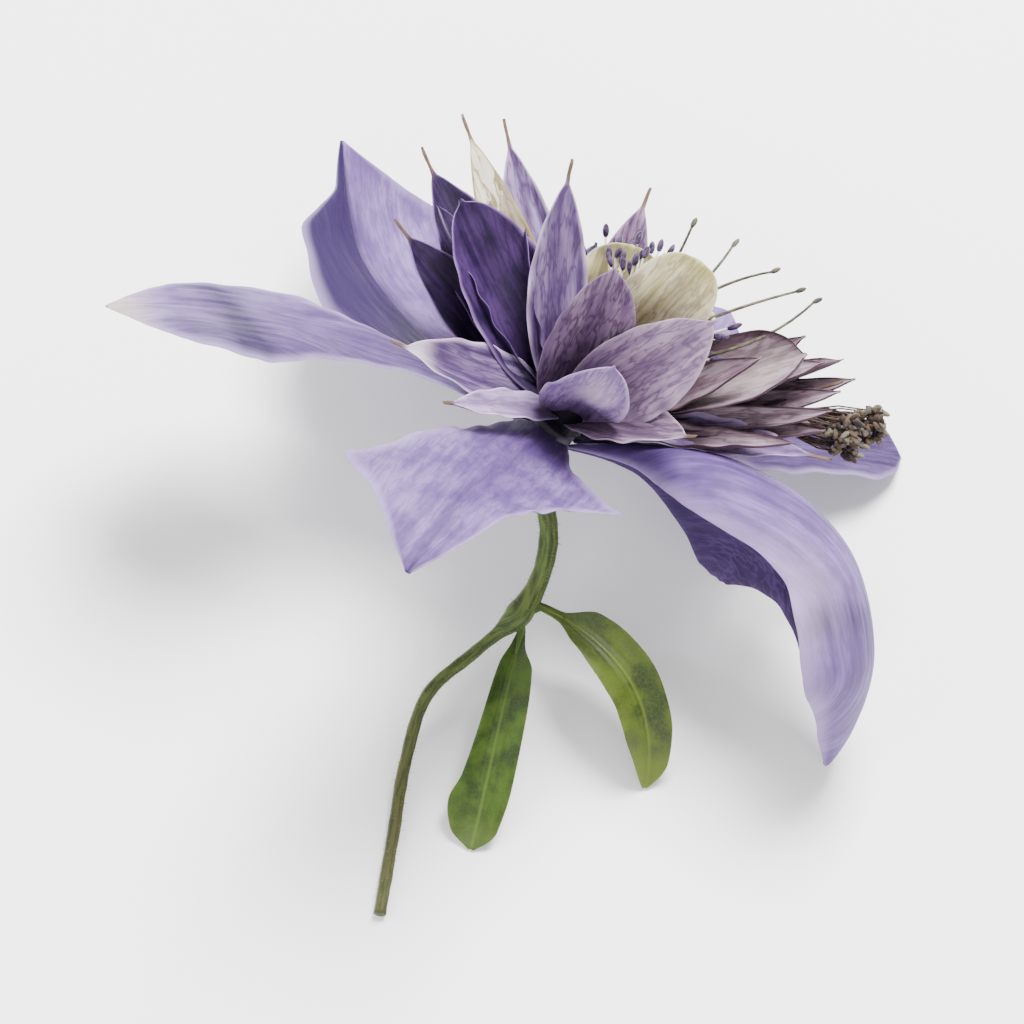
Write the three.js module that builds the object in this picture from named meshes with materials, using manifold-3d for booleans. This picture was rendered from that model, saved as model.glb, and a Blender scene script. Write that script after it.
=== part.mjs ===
// A double clematis flower, picked with a short stalk and its pair of small leaves, lying on a surface.
// Millimetres, +Z up. The surface is the plane z = 0, and the origin is below the middle of the flower.
//
// The flower faces up and to the right, so its pieces are placed in its viewer's directions:
// `seen(right, up, near)` is a point measured from the crown, where the stalk ends, to the right, up and
// towards a viewer who looks down on the flower. Every petal, leaf and petaloid is a blade: a thin sheet along
// an arched midrib, given by its tip.
import * as THREE from 'three';
import { mergeVertices } from 'three/addons/utils/BufferGeometryUtils.js';
import Module from 'manifold-3d';

const wasm = await Module();
wasm.setup();

// ---- Driving dimensions ---------------------------------------------------------------------------------

const LEAN = 25; // degrees between the viewer's line of sight and straight down
const CROWN = [7.3, 7.5, 33]; // where the stalk meets the flower
const FACING = [0.6, 0.69, 0.405]; // the flower's axis: right, up, near
const GAP = 0.3; // between pieces that touch
const SCRAP = 1; // mm3: a loose scrap that joining leaves is smaller

const STALK = {
  // The axis of the stalk below its receptacle, from the neck to the cut end: right, up, near.
  route: [
    [-2.9, -3.4, -2], [-2.9, -9, -4.2], [-1.3, -16.5, -6.6], [-2.4, -23.5, -8.1], [-5.9, -29.8, -8.9],
    [-12.8, -35.8, -9.7], [-20.2, -42.5, -9.2], [-23.6, -53, -8.2], [-25.4, -64, -5.3], [-27.4, -76, 0.3],
  ],
  neckRadius: 1.7,
  radius: 1.5,
  stemRadius: 0.95,
  node: 0.341, // where the leaves grow, as a share of the route
  nodeRadius: 2.1,
  nodeReach: 0.035,
  sides: 8,
  steps: 34,
};

const RIM = 4.2; // radius of the receptacle's rim, which the outer petals stand round
const RECEPTACLE = {
  // Radius and height on the flower's axis, from the stalk up to the flat top.
  profile: [[0, -6.4], [1.5, -6], [3, -4.8], [RIM, -3.8], [RIM, 0], [0, 0]],
  sides: 16,
};
const COLUMN = { from: GAP, to: 10, radius: 4.0, topRadius: 3.3, sides: 12 };
const CREAM_DISC = { from: 10.3, to: 12.2, radius: 3.1, sides: 10 };
const STAMEN_DISC = { from: 12.5, to: 14.0, radius: 2.3, sides: 10 };
const STYLE_DISC = { from: 14.3, to: 15.6, radius: 1.4, sides: 8 };
const DISC_ROUNDING = 0.35;

const PETAL_THICKNESS = 0.7;
const PETALOID_THICKNESS = 0.7;
const LEAF_THICKNESS = 0.7;

// ---- Directions and small helpers -----------------------------------------------------------------------

const radians = THREE.MathUtils.degToRad;
const lerp = THREE.MathUtils.lerp;
const range = (count) => Array.from({ length: count }, (_, index) => index);

// A direction from the viewer's right, up and near, in the part's frame.
function direction(right, up, near) {
  return new THREE.Vector3(right, up, near).applyAxisAngle(new THREE.Vector3(1, 0, 0), radians(LEAN));
}

// A point measured from the crown, in the part's frame.
function seen(right, up, near) {
  return direction(right, up, near).add(new THREE.Vector3(...CROWN));
}

const crown = seen(0, 0, 0);
const axis = direction(...FACING).normalize();
const across = direction(1, 0, 0).projectOnPlane(axis).normalize();
const behind = new THREE.Vector3().crossVectors(axis, across);

// A point on the flower's axis.
function onAxis(height) {
  return crown.clone().addScaledVector(axis, height);
}

// A unit vector square to the axis; azimuth 0 is to the right and 90 away from the viewer.
function spoke(azimuth) {
  const angle = radians(azimuth);
  return across.clone().multiplyScalar(Math.cos(angle)).addScaledVector(behind, Math.sin(angle));
}

// Where something of this length ends that leaves the axis at `height`, opening from it by some degrees.
function sprung({ height, azimuth, opening, length }) {
  return onAxis(height)
    .addScaledVector(axis, length * Math.cos(radians(opening)))
    .addScaledVector(spoke(azimuth), length * Math.sin(radians(opening)));
}

// A repeatable random number between -1 and 1.
function chance(seed) {
  const value = Math.sin(seed * 12.9898 + 4.137) * 43758.5453;
  return 2 * (value - Math.floor(value)) - 1;
}

// Keeps what would sink through the surface lying on it, with a soft bend where it comes down.
function restOn(height, floor, bend = 3) {
  const above = height - floor;
  if (above >= bend) {
    return height;
  }
  return above <= -bend ? floor : floor + (above + bend) ** 2 / (4 * bend);
}

function meshOf(points, triangles) {
  const geometry = new THREE.BufferGeometry();
  const positions = points.flatMap((point) => point.toArray());
  geometry.setAttribute('position', new THREE.Float32BufferAttribute(positions, 3));
  geometry.setIndex(triangles.flat());
  return geometry;
}

// ---- Blades ---------------------------------------------------------------------------------------------

// Half the width of a plain blade, as a share of its widest half: a belly, a point and a thin drawn-out tip.
function outline(share, belly, point, awl) {
  const along = share / (1 - awl);
  if (along >= 1) {
    return 0;
  }
  const rise = (point * belly) / (1 - belly);
  const peak = belly ** rise * (1 - belly) ** point;
  return (along ** rise * (1 - along) ** point) / peak;
}

// A soft curve through hand-chosen knots of [share, value], with no overshoot between them.
function through(knots, share) {
  const last = knots.length - 1;
  const slopes = range(last).map((index) =>
    (knots[index + 1][1] - knots[index][1]) / (knots[index + 1][0] - knots[index][0]));
  const leaning = knots.map((_, index) => {
    const before = slopes[Math.max(0, index - 1)];
    const after = slopes[Math.min(last - 1, index)];
    return before * after <= 0 ? 0 : (2 * before * after) / (before + after);
  });
  const reached = knots.filter(([place]) => place <= share).length - 1;
  const index = THREE.MathUtils.clamp(reached, 0, last - 1);
  const [[place, value], [nextPlace, nextValue]] = [knots[index], knots[index + 1]];
  const reach = nextPlace - place;
  const t = (share - place) / reach;
  return (2 * t ** 3 - 3 * t ** 2 + 1) * value + (t ** 3 - 2 * t ** 2 + t) * reach * leaning[index]
    + (3 * t ** 2 - 2 * t ** 3) * nextValue + (t ** 3 - t ** 2) * reach * leaning[index + 1];
}

const BLADE = {
  facing: axis, // where the face looks, as far as the chord allows
  arch: [0, 0], // how far the midrib stands off its chord at a third and two thirds, towards its face
  sway: 0, // how far the midrib bows sideways
  turn: [0, 0], // degrees that the blade is turned about its midrib, at the root and the tip
  curl: [0, 0], // how far the two halves curl towards the face, in radians at the edge
  crease: 0, // how far the halves fold up along the midrib
  ruffle: 0, // height of the waves in the edges
  waves: 2.5,
  phase: 0,
  belly: 0.58,
  point: 1,
  awl: 0,
  rootWidth: 2.4,
  tipWidth: 0.7,
  edges: null, // where given, the half width at some shares of the length, on the two sides
  thickness: PETALOID_THICKNESS,
  rows: 6,
  columns: 2,
};

function halfWidth(spec, share, side) {
  if (spec.edges) {
    return through(spec.edges[side < 0 ? 0 : 1], share);
  }
  return (spec.width / 2) * outline(share, spec.belly, spec.point, spec.awl)
    + (spec.rootWidth / 2) * (1 - share) ** 4 + (spec.tipWidth / 2) * Math.min(1, 4 * share);
}

// The middle surface of a blade: a function of its share along the midrib and its side, from -1 to 1.
function bladeSurface(spec) {
  const { root, tip } = spec;
  const chord = tip.clone().sub(root);
  const length = chord.length();
  const along = chord.clone().normalize();
  const face = spec.facing.clone().projectOnPlane(along).normalize();
  const sideways = new THREE.Vector3().crossVectors(along, face).normalize();
  const handle = (share, lift) =>
    root.clone().addScaledVector(along, share * length).addScaledVector(face, lift)
      .addScaledVector(sideways, spec.sway);
  const handles = spec.arch.map((lift, index) => handle((index + 1) / 3, lift));
  const midrib = new THREE.CubicBezierCurve3(root, ...handles, tip);
  return (share, side) => {
    const centre = midrib.getPoint(share);
    const tangent = midrib.getTangent(share);
    const turned = radians(lerp(spec.turn[0], spec.turn[1], share));
    const flat = tangent.clone().cross(face).normalize().applyAxisAngle(tangent, turned);
    const normal = new THREE.Vector3().crossVectors(flat, tangent).normalize();
    const half = halfWidth(spec, share, side);
    const bend = spec.curl[side < 0 ? 0 : 1] || 1e-4;
    const lift = (half * (1 - Math.cos(bend * side))) / bend
      + half * spec.crease * Math.abs(side)
      + spec.ruffle * side * side * Math.sin(Math.PI * share)
        * Math.sin(2 * Math.PI * spec.waves * share + spec.phase + (side < 0 ? 2 : 0));
    const point = centre.addScaledVector(flat, (half * Math.sin(bend * side)) / bend)
      .addScaledVector(normal, lift);
    point.z = restOn(point.z, spec.thickness / 2);
    return point;
  };
}

// A blade as a closed sheet: its two faces are the middle surface moved out by half the thickness.
function bladeGeometry(given) {
  const spec = { ...BLADE, ...given };
  const { rows, columns } = spec;
  const surface = bladeSurface(spec);
  const step = 1e-3;
  const faces = [[], []];
  for (let row = 0; row <= rows; row += 1) {
    for (let column = 0; column <= columns; column += 1) {
      const share = row / rows;
      const side = (2 * column) / columns - 1;
      const ahead = surface(Math.min(1, share + step), side);
      const lengthwise = ahead.sub(surface(Math.max(0, share - step), side));
      const crosswise = surface(share, side + step).sub(surface(share, side - step));
      const normal = crosswise.cross(lengthwise).normalize();
      const middle = surface(share, side);
      faces[0].push(middle.clone().addScaledVector(normal, spec.thickness / 2));
      faces[1].push(middle.clone().addScaledVector(normal, -spec.thickness / 2));
    }
  }
  const size = faces[0].length;
  const at = (row, column) => row * (columns + 1) + column;
  const triangles = [];
  for (let row = 0; row < rows; row += 1) {
    for (let column = 0; column < columns; column += 1) {
      const [a, b] = [at(row, column), at(row, column + 1)];
      const [c, d] = [at(row + 1, column + 1), at(row + 1, column)];
      const mirrored = column >= columns / 2;
      const pair = mirrored ? [[a, b, c], [a, c, d]] : [[a, b, d], [b, c, d]];
      for (const [p, q, r] of pair) {
        triangles.push([p, q, r], [p + size, r + size, q + size]);
      }
    }
  }
  const rim = [
    ...range(columns).map((column) => at(0, column)),
    ...range(rows).map((row) => at(row, columns)),
    ...range(columns).map((column) => at(rows, columns - column)),
    ...range(rows).map((row) => at(rows - row, 0)),
  ];
  rim.forEach((p, index) => {
    const q = rim[(index + 1) % rim.length];
    triangles.push([q, p, p + size], [q, p + size, q + size]);
  });
  return meshOf(faces.flat(), triangles);
}

// A blade that grows from the flower's axis: its root is at `height` on it, `reach` out, below its tip.
function rooted(given, height, reach) {
  const foot = onAxis(height);
  const outward = given.tip.clone().sub(foot).projectOnPlane(axis).normalize();
  return { ...given, root: foot.addScaledVector(outward, reach) };
}

// ---- Tubes, discs and joining ---------------------------------------------------------------------------

// A round tube along a curve with a radius that changes, closed at both ends.
function tubeGeometry(curve, radiusAt, steps, sides) {
  const frames = curve.computeFrenetFrames(steps, false);
  const points = [];
  for (let step = 0; step <= steps; step += 1) {
    const centre = curve.getPointAt(step / steps);
    for (let side = 0; side < sides; side += 1) {
      const angle = (2 * Math.PI * side) / sides;
      const radius = radiusAt(step / steps);
      points.push(centre.clone()
        .addScaledVector(frames.normals[step], radius * Math.cos(angle))
        .addScaledVector(frames.binormals[step], radius * Math.sin(angle)));
    }
  }
  const triangles = [];
  for (let step = 0; step < steps; step += 1) {
    for (let side = 0; side < sides; side += 1) {
      const next = (side + 1) % sides;
      const [a, b] = [step * sides + side, step * sides + next];
      triangles.push([a, b, b + sides], [a, b + sides, a + sides]);
    }
  }
  const start = points.push(curve.getPointAt(0)) - 1;
  const end = points.push(curve.getPointAt(1)) - 1;
  for (let side = 0; side < sides; side += 1) {
    const next = (side + 1) % sides;
    triangles.push([next, side, start], [steps * sides + side, steps * sides + next, end]);
  }
  return meshOf(points, triangles);
}

// The turn that stands something made along Y up along another direction.
function upTo(target) {
  return new THREE.Quaternion().setFromUnitVectors(new THREE.Vector3(0, 1, 0), target);
}

// A turned solid on the flower's axis. The profile is [radius, height] from its lower end to its upper end.
function turned(profile, sides) {
  const points = profile.map(([radius, height]) => new THREE.Vector2(radius, height));
  return new THREE.LatheGeometry(points, sides).applyQuaternion(upTo(axis)).translate(...crown.toArray());
}

function disc({ from, to, radius, topRadius = radius, sides }) {
  return turned([
    [0, from], [radius, from], [topRadius, to - DISC_ROUNDING], [topRadius - DISC_ROUNDING, to], [0, to],
  ], sides);
}

function asSolid(geometry) {
  const bare = geometry.clone();
  bare.deleteAttribute('normal');
  bare.deleteAttribute('uv');
  const merged = mergeVertices(bare, 1e-4);
  return new wasm.Manifold(new wasm.Mesh({
    numProp: 3,
    vertProperties: new Float32Array(merged.attributes.position.array),
    triVerts: new Uint32Array(merged.index.array),
  }));
}

// Joins closed geometries that run into each other into one body, and fills the hollows that this seals.
function fused(geometries) {
  const joined = geometries.map(asSolid).reduce((whole, next) => whole.add(next));
  const shells = joined.decompose().filter((shell) => shell.volume() > SCRAP);
  const mesh = shells.reduce((whole, next) => whole.add(next)).getMesh();
  const geometry = new THREE.BufferGeometry();
  geometry.setAttribute('position', new THREE.Float32BufferAttribute(mesh.vertProperties, 3));
  geometry.setIndex([...mesh.triVerts]);
  return geometry;
}

const flower = new THREE.Group();
flower.name = 'clematis_flower';

function addPiece(name, geometry, material) {
  geometry.computeVertexNormals();
  const mesh = new THREE.Mesh(geometry, material);
  mesh.name = name;
  flower.add(mesh);
}

function finish(color, roughness) {
  return new THREE.MeshStandardMaterial({ color, roughness, metalness: 0 });
}

// ---- Stalk: stem, leaf node, peduncle and the receptacle that carries the flower ------------------------

const stalkRoute = new THREE.CatmullRomCurve3(STALK.route.map((point) => seen(...point)));

function stalkRadius(share) {
  const { node, nodeReach, nodeRadius, neckRadius, radius, stemRadius } = STALK;
  const plain = share < node
    ? lerp(neckRadius, radius, Math.min(1, share / (node / 2)))
    : stemRadius;
  const swelling = Math.exp(-(((share - node) / nodeReach) ** 2));
  return lerp(plain, nodeRadius, swelling);
}

addPiece('stalk', fused([
  tubeGeometry(stalkRoute, stalkRadius, STALK.steps, STALK.sides),
  turned(RECEPTACLE.profile, RECEPTACLE.sides),
]), finish('#66743f', 0.6));

// ---- Leaves: an opposite pair of small simple leaves at the node ----------------------------------------

const LEAF_FACING = direction(0.35, 0.25, 0.9);
const LEAVES = {
  leaf_arched: {
    root: [-2.6, -28.7, -8.2], tip: [13.6, -57.5, -10.5], arch: [11, 12], sway: -4, turn: [0, 10],
    curl: [0.4, 0.4], crease: 0.15, color: '#75822a',
    edges: [
      [[0, 0.7], [0.08, 0.9], [0.2, 3.8], [0.45, 4.4], [0.7, 4], [0.88, 3], [1, 0.4]],
      [[0, 0.7], [0.08, 0.9], [0.2, 3], [0.45, 4.9], [0.7, 4.6], [0.88, 2.6], [1, 0.4]],
    ],
  },
  leaf_hanging: {
    root: [-5.6, -32.8, -8.8], tip: [-13.4, -67, -6.5], arch: [2, 3], sway: 1, turn: [10, 30],
    curl: [0.6, 0.6], crease: 0.2, color: '#5f7230',
    edges: [
      [[0, 0.7], [0.06, 1.2], [0.16, 3.2], [0.4, 4.2], [0.7, 4.6], [0.88, 3.8], [1, 0.4]],
      [[0, 0.7], [0.06, 1.2], [0.16, 2.4], [0.45, 3.2], [0.66, 4], [0.78, 5.2], [0.9, 4], [1, 0.4]],
    ],
  },
};

for (const [name, leaf] of Object.entries(LEAVES)) {
  addPiece(name, bladeGeometry({
    ...leaf,
    root: seen(...leaf.root),
    tip: seen(...leaf.tip),
    facing: LEAF_FACING,
    thickness: LEAF_THICKNESS,
    rows: 16,
    columns: 6,
  }), finish(leaf.color, 0.55));
}

// ---- Outer petals ---------------------------------------------------------------------------------------

// Tips are right, up, near. `step` is how far the claw sits below the rim of the receptacle.
const OUTER_PETALS = {
  petal_left: {
    tip: [-69.6, 17.6, 3], arch: [1, 6], sway: 6, turn: [8, 14], curl: [-0.2, 0.2], ruffle: 0.3, step: 1.2,
    edges: [
      [[0, 3.5], [0.25, 4.5], [0.4, 6], [0.5, 11], [0.65, 18.5], [0.78, 18], [0.9, 11], [1, 0.4]],
      [[0, 4], [0.25, 4.5], [0.45, 8], [0.65, 12.5], [0.8, 11], [0.9, 7], [1, 0.4]],
    ],
  },
  petal_upper_left: {
    tip: [-33.9, 44.8, -31], arch: [-5, -18], curl: [-0.5, 0.5], crease: 0.05, ruffle: 0.4, step: 2.9,
    edges: [
      [[0, 4], [0.2, 9], [0.4, 15], [0.6, 14], [0.7, 12.5], [0.8, 10.5], [0.85, 6], [0.9, 2], [1, 0.4]],
      [[0, 4], [0.2, 10], [0.45, 18], [0.64, 22], [0.8, 20], [0.92, 10.5], [1, 0.4]],
    ],
  },
  petal_front: {
    tip: [-22.5, -23, 50], arch: [3, 8], turn: [0, 15], curl: [0.4, -0.3], ruffle: 0.6, phase: 1.2,
    step: 1.2,
    edges: [
      [[0, 4], [0.12, 6.5], [0.22, 10.5], [0.3, 16], [0.34, 18.5], [0.4, 13.5], [0.5, 9], [0.65, 6],
        [0.85, 3], [1, 0.4]],
      [[0, 4], [0.2, 8], [0.4, 13], [0.6, 18], [0.68, 21], [0.8, 13], [0.9, 7], [1, 0.4]],
    ],
  },
  petal_right_drooping: {
    tip: [41.8, -54, -12], arch: [31, 33], turn: [-54, -50], curl: [-1.05, -2.2], ruffle: 0.4, step: 2.4,
    columns: 12,
    edges: [
      [[0, 0.6], [0.1, 3.5], [0.2, 12.5], [0.3, 18], [0.45, 18.5], [0.6, 21.5], [0.72, 19], [0.85, 11],
        [1, 0.4]],
      [[0, 0.6], [0.12, 5], [0.3, 18], [0.45, 22.5], [0.6, 26], [0.75, 27], [0.9, 15], [1, 0.4]],
    ],
  },
  petal_right: {
    tip: [53.7, -3.6, -35], arch: [2, 3], curl: [-0.2, -0.1], ruffle: 0.5, phase: 2, step: 1.2,
    edges: [
      [[0, 3], [0.3, 7], [0.6, 9], [0.85, 7], [0.96, 5], [1, 4]],
      [[0, 2.5], [0.3, 6], [0.6, 8.5], [0.85, 8.5], [0.95, 6.5], [1, 3]],
    ],
  },
  petal_back_right: {
    tip: [28, 15, -51], width: 23, arch: [4, 3], turn: [12, 0], curl: [-0.2, -0.2], ruffle: 0.6, phase: 3,
    step: 2.9, belly: 0.66,
  },
  petal_back: {
    tip: [0.5, 28.5, -57], width: 24, arch: [4, 3], turn: [12, 0], curl: [-0.2, -0.2], ruffle: 0.6, phase: 4,
    step: 1.4, belly: 0.66,
  },
};

const petalFinish = finish('#9d92c2', 0.55);
for (const [name, { step, ...petal }] of Object.entries(OUTER_PETALS)) {
  const blade = rooted({ ...petal, tip: seen(...petal.tip) }, -step, RIM + GAP);
  addPiece(name, bladeGeometry({
    point: 0.85,
    thickness: PETAL_THICKNESS,
    rows: 18,
    columns: 6,
    ...blade,
  }), petalFinish);
}

// ---- Inner petaloids: narrow pointed blades crowded on the column ---------------------------------------

// Where the faces of the shown ones look: right, up, near.
const SIDEWAYS = direction(0.45, -0.1, 1);
const TOWARDS = direction(0.15, -0.1, 1);
const OVER = direction(0.3, 0.5, 0.8);
const BLUNT = { point: 0.55, awl: 0.02 };

// The ones that the viewer sees: tip (right, up, near), width, arch and height of the root on the column.
const SHOWN_PETALOIDS = [
  { tip: [-21, 42.5, -4], facing: SIDEWAYS, width: 13, arch: [-2, -4], height: 2.5 },
  { tip: [-25, 31, 5], facing: SIDEWAYS, width: 10, arch: [-3, -4], height: 2 },
  { tip: [-25.5, 12, 18], facing: OVER, width: 10, arch: [0, -1], height: 2 },
  { tip: [-17.5, 2.5, 24], facing: OVER, width: 5, height: 2 },
  { tip: [-14.8, 48, -12], facing: TOWARDS, width: 7.5, arch: [-4, -2], height: 4 },
  { tip: [-8.3, 47.4, -14], facing: TOWARDS, width: 9, arch: [-5, -4], height: 5 },
  { tip: [-15, 34, 8], facing: SIDEWAYS, width: 15, arch: [-2, -2], height: 3.6, ...BLUNT },
  { tip: [2.2, 39.8, 15], facing: TOWARDS, width: 9, sway: -2, height: 3.2 },
  { tip: [14.5, 36.3, -6], facing: TOWARDS, width: 8.5, arch: [-4, -2], height: 6 },
  { tip: [8.5, 23, 26], facing: TOWARDS, width: 13, arch: [-1, 1], height: 3.6, ...BLUNT },
  {
    tip: [8.5, 8, 27], facing: TOWARDS, width: 12.5, arch: [0, 2], height: 2.4, point: 0.6, awl: 0.03,
    crease: 0.05, curl: [0.2, 0.2],
  },
  { tip: [24, 15, 28], facing: TOWARDS, width: 14, arch: [-1, -2], height: 3, point: 0.75, awl: 0.04 },
  { tip: [21, -2.5, 22], facing: OVER, width: 10, arch: [-1, -1], height: 1.8 },
  { tip: [42, -6, 10], facing: OVER, width: 7, arch: [1, 1], height: 1.8 },
  {
    tip: [38, 10, 15], facing: direction(-0.1, 0.35, 1), width: 14, arch: [-2, -5], height: 3.4, ...BLUNT,
    belly: 0.72, crease: 0, curl: [0.9, 1.3],
  },
  { tip: [44, 6, 3], facing: OVER, width: 9, arch: [-3, -4], height: 3.2, curl: [1.2, 1.2] },
  { tip: [45.5, 0.5, -7], facing: OVER, width: 8, arch: [-2, -4], height: 2.2, curl: [1.2, 1.2] },
];

// Ends and widths of the curled ones that lie over each other at the right.
const CURLED_PETALOIDS = [
  [[41, 9, 8], 8], [[43.5, 4.5, 6], 7], [[42, 1.5, 11], 6], [[41, -1.5, 10], 6], [[36, -3.5, 15], 6],
  [[31, 9.5, 15], 7],
];

// The ones behind, in rows up the column, each with its span of azimuths, opening from the axis and length.
const HIDDEN_ROWS = [
  { count: 7, azimuth: [28, 165], opening: 72, length: 38, width: 12, height: 2, arch: [-2, -1] },
  { count: 5, azimuth: [72, 160], opening: 57, length: 28, width: 11, height: 4.5, arch: [-3, -2] },
  { count: 3, azimuth: [60, 128], opening: 48, length: 23, width: 10, height: 7.5, arch: [-3, -1] },
];

const AWL = 0.1; // share of a petaloid that is its thin drawn-out tip
const SUNK = 1.2; // how far a root is sunk into the column

function hiddenPetaloids() {
  return HIDDEN_ROWS.flatMap((row, rank) => range(row.count).map((index) => {
    const { count, azimuth, opening, length, ...blade } = row;
    const seed = 10 * rank + index + 1;
    const tip = sprung({
      height: blade.height,
      azimuth: lerp(...azimuth, (index + 0.5) / count) + 4 * chance(seed),
      opening: opening + 4 * chance(seed + 0.3),
      length: length * (1 + 0.07 * chance(seed + 0.6)),
    });
    return { ...blade, tip, turn: [0, 12 * chance(seed + 0.9)], awl: 0.02, rows: 4 };
  }));
}

function curledPetaloid([tip, width], number) {
  return {
    tip: seen(...tip), facing: OVER, width, height: 3, arch: [-2 - 0.3 * number, -3], crease: 0,
    curl: [1.7, 1.1 + 0.5 * chance(number + 0.5)], turn: [0, 35 * chance(number)], point: 0.7, awl: 0.03,
    rows: 5,
  };
}

function petaloid({ height, ...blade }) {
  return bladeGeometry({
    curl: [0.45, 0.45],
    crease: 0.2,
    belly: 0.5,
    point: 0.9,
    awl: AWL,
    rootWidth: 3,
    tipWidth: 0.5,
    ...rooted(blade, height, COLUMN.topRadius - SUNK),
  });
}

const shownPetaloids = SHOWN_PETALOIDS.map(({ tip, ...blade }) => ({ ...blade, tip: seen(...tip) }));
addPiece('inner_petaloids', fused([
  disc(COLUMN),
  ...[...shownPetaloids, ...CURLED_PETALOIDS.map(curledPetaloid), ...hiddenPetaloids()].map(petaloid),
]), finish('#5d4a86', 0.5));

// ---- Cream petaloids round the centre -------------------------------------------------------------------

const CREAM = {
  count: 6,
  azimuth: [-15, 145],
  opening: 28,
  length: 18,
  width: 9,
  arch: [-2, -1],
  height: 11.3,
  reach: 2.3,
};
// The two broad ones that show.
const BROAD_CREAM = [
  { tip: [21.5, 24, 25], facing: TOWARDS, width: 13, arch: [2, 1], curl: [0.1, 0.1] },
  { tip: [11.5, 26, 5], width: 10, arch: [-1, -2], curl: [0.5, 0.3] },
];

function creamBlade(blade) {
  return bladeGeometry({
    belly: 0.64,
    point: 0.42,
    rootWidth: 2,
    ...rooted(blade, CREAM.height, CREAM.reach),
  });
}

function creamPetaloid(index) {
  const seed = 50 + index;
  const tip = sprung({
    height: CREAM.height,
    azimuth: lerp(...CREAM.azimuth, index / (CREAM.count - 1)),
    opening: CREAM.opening + 6 * chance(seed),
    length: CREAM.length * (1 + 0.14 * chance(seed + 0.5)),
  });
  const curl = [0.35, 0.3 + 0.3 * chance(seed + 0.2)];
  return creamBlade({ tip, width: CREAM.width, arch: CREAM.arch, curl, turn: [0, 25 * chance(seed + 0.8)] });
}

addPiece('cream_petaloids', fused([
  disc(CREAM_DISC),
  ...range(CREAM.count).map(creamPetaloid),
  ...BROAD_CREAM.map((broad) => creamBlade({ ...broad, tip: seen(...broad.tip) })),
]), finish('#d6cdb0', 0.6));

// ---- Stamens and styles ---------------------------------------------------------------------------------

const STAMENS = {
  count: 18,
  opening: [6, 16],
  length: [13, 17],
  radius: 0.36,
  anther: [0.62, 2.2], // radius and length
  height: 13.3,
};
const STYLES = { count: 7, opening: [0, 7], length: [11, 14], radius: 0.4, height: 15 };

const FILAMENT_BOW = 0.06; // how far a filament bows, as a share of its length

// A thin stalk from the axis, a little curved, with or without an anther at its end.
function filament({ foot, end, radius, anther }) {
  const middle = foot.clone().lerp(end, 0.5).addScaledVector(axis, -FILAMENT_BOW * foot.distanceTo(end));
  const curve = new THREE.QuadraticBezierCurve3(foot, middle, end);
  const parts = [tubeGeometry(curve, () => radius, 2, 3)];
  if (anther) {
    const [antherRadius, antherLength] = anther;
    const head = new THREE.SphereGeometry(antherRadius, 4, 3);
    head.scale(1, antherLength / (2 * antherRadius), 1);
    head.applyQuaternion(upTo(curve.getTangent(1)));
    parts.push(head.translate(...end.toArray()));
  }
  return parts;
}

// A tuft of filaments whose feet stand `reach` from the axis.
function tuft({ count, opening, length, radius, anther, height }, reach, seedFrom) {
  return range(count).flatMap((index) => {
    const seed = seedFrom + index;
    const azimuth = (360 * index) / count + 10 * chance(seed);
    const lean = radians(lerp(...opening, 0.5 + 0.5 * chance(seed + 0.4)));
    const reached = lerp(...length, 0.5 + 0.5 * chance(seed + 0.7));
    const foot = onAxis(height).addScaledVector(spoke(azimuth), reach);
    const end = foot.clone().addScaledVector(axis, reached * Math.cos(lean))
      .addScaledVector(spoke(azimuth), reached * Math.sin(lean));
    return filament({ foot, end, radius, anther });
  });
}

addPiece('stamens', fused([
  disc(STAMEN_DISC),
  ...tuft(STAMENS, STAMEN_DISC.radius - 0.7, 80),
]), finish('#4d3a5c', 0.6));
addPiece('styles', fused([
  disc(STYLE_DISC),
  ...tuft(STYLES, STYLE_DISC.radius - 0.8, 120),
]), finish('#9c9a62', 0.6));

export default flower;
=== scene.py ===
"""The looks of a picked double clematis flower that lies on a surface, built round its solids.

Shapes are worked out in millimetres in the solids' frame, +Z up, and become metres when a piece is made.
The flower faces up and to the right of its viewer, so places are given in the viewer's directions:
`seen(right, up, near)` is a point measured from the crown, where the stalk ends. Every petal, leaf and
petaloid is a blade: a thin closed sheet along an arched midrib.
"""

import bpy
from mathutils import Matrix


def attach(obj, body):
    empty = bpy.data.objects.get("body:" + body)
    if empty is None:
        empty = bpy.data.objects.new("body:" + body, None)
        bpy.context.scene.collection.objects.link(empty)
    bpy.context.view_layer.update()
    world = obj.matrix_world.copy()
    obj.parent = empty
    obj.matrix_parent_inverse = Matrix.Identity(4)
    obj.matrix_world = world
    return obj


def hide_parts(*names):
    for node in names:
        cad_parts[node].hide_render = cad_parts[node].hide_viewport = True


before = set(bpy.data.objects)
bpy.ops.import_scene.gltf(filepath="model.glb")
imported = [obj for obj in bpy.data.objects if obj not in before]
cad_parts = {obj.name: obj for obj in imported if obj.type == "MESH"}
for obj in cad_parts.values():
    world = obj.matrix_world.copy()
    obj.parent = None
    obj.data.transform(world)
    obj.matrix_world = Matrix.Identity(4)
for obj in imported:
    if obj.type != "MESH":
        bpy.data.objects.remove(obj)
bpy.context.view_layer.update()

import math

import bpy
import numpy as np
from mathutils import Vector

MM = 0.001

# ---- Driving dimensions ----
# Most are the solids' own. Blades are thinner here, and the outer petals begin nearer to the flower's axis.

LEAN = math.radians(25)  # between the viewer's line of sight and straight down
CROWN = np.array([7.3, 7.5, 33.0])
FACING = (0.6, 0.69, 0.405)  # the flower's axis: right, up, near
CLAW_REACH = 3.4  # how far from the axis the outer petals begin
COLUMN_FROM, COLUMN_TO = 0.3, 10.0
COLUMN_TOP_RADIUS = 3.3
FLOOR_GAP = 0.03  # how far a piece that lies on the surface stays off it

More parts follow.
